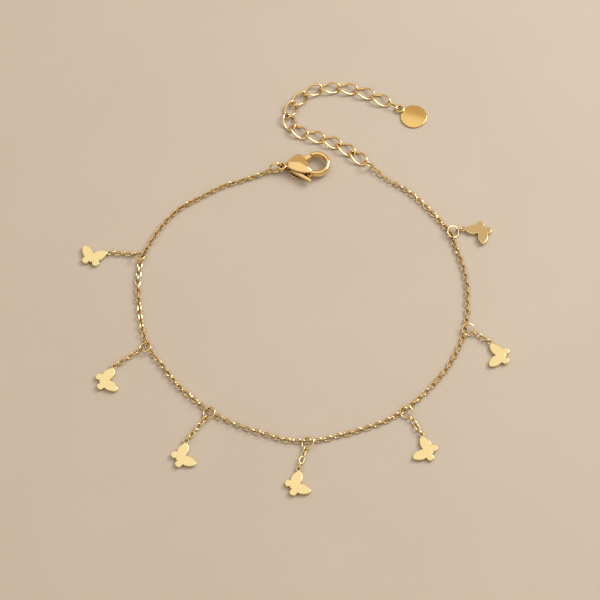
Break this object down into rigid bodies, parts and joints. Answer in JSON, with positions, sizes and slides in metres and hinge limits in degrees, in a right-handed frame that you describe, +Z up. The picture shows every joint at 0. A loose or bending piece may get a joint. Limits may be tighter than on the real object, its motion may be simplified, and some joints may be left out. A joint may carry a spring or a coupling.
{
  "type": "charm anklet",
  "caption": "Fine cable-chain anklet with small flat butterfly charms on jump rings, a lobster clasp and a curb-link extender ending in a round tag.",
  "frame": {"origin": "on the surface that the anklet lies on, under the middle of its bounding box", "axes": "+Z up from the surface; +Y from the middle charm towards the clasp; +X to the right as the anklet is looked down on"},
  "size_m": [0.0968, 0.1068, 0.003],
  "materials": {
    "chain_gold": "polished gold plate",
    "charm_gold": "flat polished pale gold plate",
    "clasp_gold": "high polish gold plate",
    "tag_gold": "mirror polish gold plate"
  },
  "bodies": {
    "anklet": {"clasp_body": "clasp_gold", "clasp_rivet": "clasp_gold", "clasp_ring": "chain_gold", "extender_ring": "chain_gold", "main_chain": "chain_gold", "drop_ring_1": "chain_gold", "drop_ring_2": "chain_gold", "drop_ring_3": "chain_gold", "drop_ring_4": "chain_gold", "drop_ring_5": "chain_gold", "drop_ring_6": "chain_gold", "drop_ring_7": "chain_gold", "drop_chain_1": "chain_gold", "drop_chain_2": "chain_gold", "drop_chain_3": "chain_gold", "drop_chain_4": "chain_gold", "drop_chain_5": "chain_gold", "drop_chain_6": "chain_gold", "drop_chain_7": "chain_gold", "butterfly_1": "charm_gold", "butterfly_2": "charm_gold", "butterfly_3": "charm_gold", "butterfly_4": "charm_gold", "butterfly_5": "charm_gold", "butterfly_6": "charm_gold", "butterfly_7": "charm_gold", "extender_link_01": "chain_gold", "extender_link_02": "chain_gold", "extender_link_03": "chain_gold", "extender_link_04": "chain_gold", "extender_link_05": "chain_gold", "extender_link_06": "chain_gold", "extender_link_07": "chain_gold", "extender_link_08": "chain_gold", "extender_link_09": "chain_gold", "extender_link_10": "chain_gold", "extender_link_11": "chain_gold", "extender_link_12": "chain_gold", "extender_link_13": "chain_gold", "tag_link": "chain_gold", "tag": "tag_gold"},
    "lever": {"clasp_lever": "clasp_gold"}
  },
  "joints": [
    {"name": "clasp_lever_hinge", "type": "hinge", "parent": "anklet", "child": "lever", "pos_m": [0.00003, 0.03026, 0.0015], "axis": [0, 0, 1], "range_deg": [-22, 0], "stiffness_Nm_per_rad": 0.002, "springref_deg": 11.46}
  ]
}
